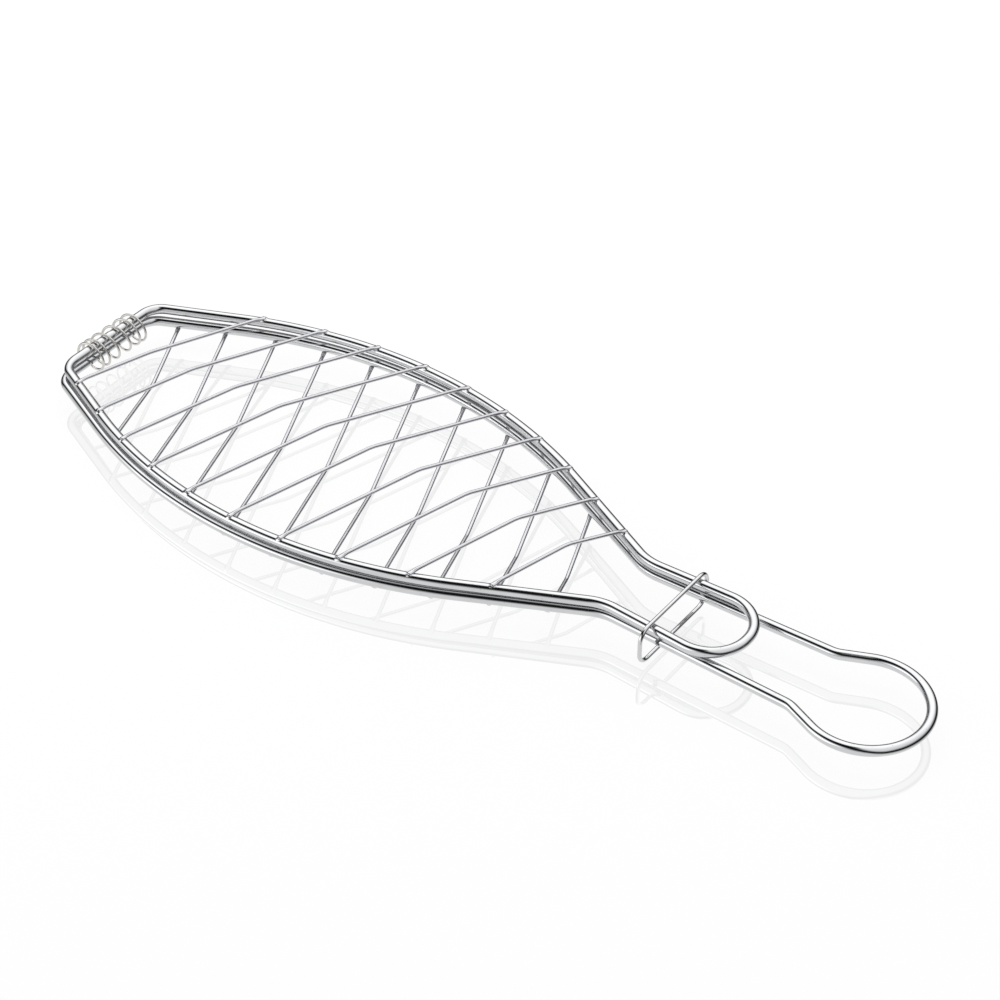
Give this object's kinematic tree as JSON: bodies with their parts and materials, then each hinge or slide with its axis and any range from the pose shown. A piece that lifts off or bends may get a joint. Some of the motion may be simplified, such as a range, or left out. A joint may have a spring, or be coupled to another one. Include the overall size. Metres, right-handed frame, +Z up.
{
  "type": "fish grill basket",
  "caption": "Fish-shaped hinged wire grill basket with kinked diagonal wires, a coil hinge at the tail and a sliding latch ring on its loop handle.",
  "frame": {"origin": "middle of the bounding box in X and Y, at the lowest kink of the lower wires in Z, where the closed basket stands", "axes": "+X from the tail hinge to the handle loop, +Y across the basket, +Z up through the two meshes"},
  "size_m": [0.3782, 0.12, 0.0243],
  "materials": {
    "rim_wire": "bright chrome plating on 4 mm steel wire",
    "mesh_wire": "bright chrome plating on 1.5 mm steel wire",
    "ring_wire": "bright chrome plating on 1.6 mm steel wire",
    "coil_wire": "plain drawn spring wire, duller and warmer than the chrome"
  },
  "bodies": {
    "lower_frame": {"lower_rim": "rim_wire", "lower_wire_01": "mesh_wire", "lower_wire_02": "mesh_wire", "lower_wire_03": "mesh_wire", "lower_wire_04": "mesh_wire", "lower_wire_05": "mesh_wire", "lower_wire_06": "mesh_wire", "lower_wire_07": "mesh_wire", "lower_wire_08": "mesh_wire", "lower_wire_09": "mesh_wire", "lower_wire_10": "mesh_wire"},
    "upper_frame": {"upper_rim": "rim_wire", "upper_wire_01": "mesh_wire", "upper_wire_02": "mesh_wire", "upper_wire_03": "mesh_wire", "upper_wire_04": "mesh_wire", "upper_wire_05": "mesh_wire", "upper_wire_06": "mesh_wire", "upper_wire_07": "mesh_wire", "upper_wire_08": "mesh_wire", "upper_wire_09": "mesh_wire", "upper_wire_10": "mesh_wire"},
    "latch_ring": {"latch_ring": "ring_wire"},
    "hinge_coil": {"hinge_coil": "coil_wire"}
  },
  "joints": [
    {"name": "frame_hinge", "type": "hinge", "parent": "lower_frame", "child": "upper_frame", "pos_m": [-0.18233, 0, 0.01466], "axis": [0, -1, 0], "range_deg": [0, 180]},
    {"name": "latch_slide", "type": "slide", "parent": "lower_frame", "child": "latch_ring", "axis": [1, 0, 0], "range_m": [-0.01, 0.05]},
    {"name": "coil_shift", "type": "slide", "parent": "lower_frame", "child": "hinge_coil", "axis": [0, 1, 0], "range_m": [-0.006, 0.002]}
  ]
}
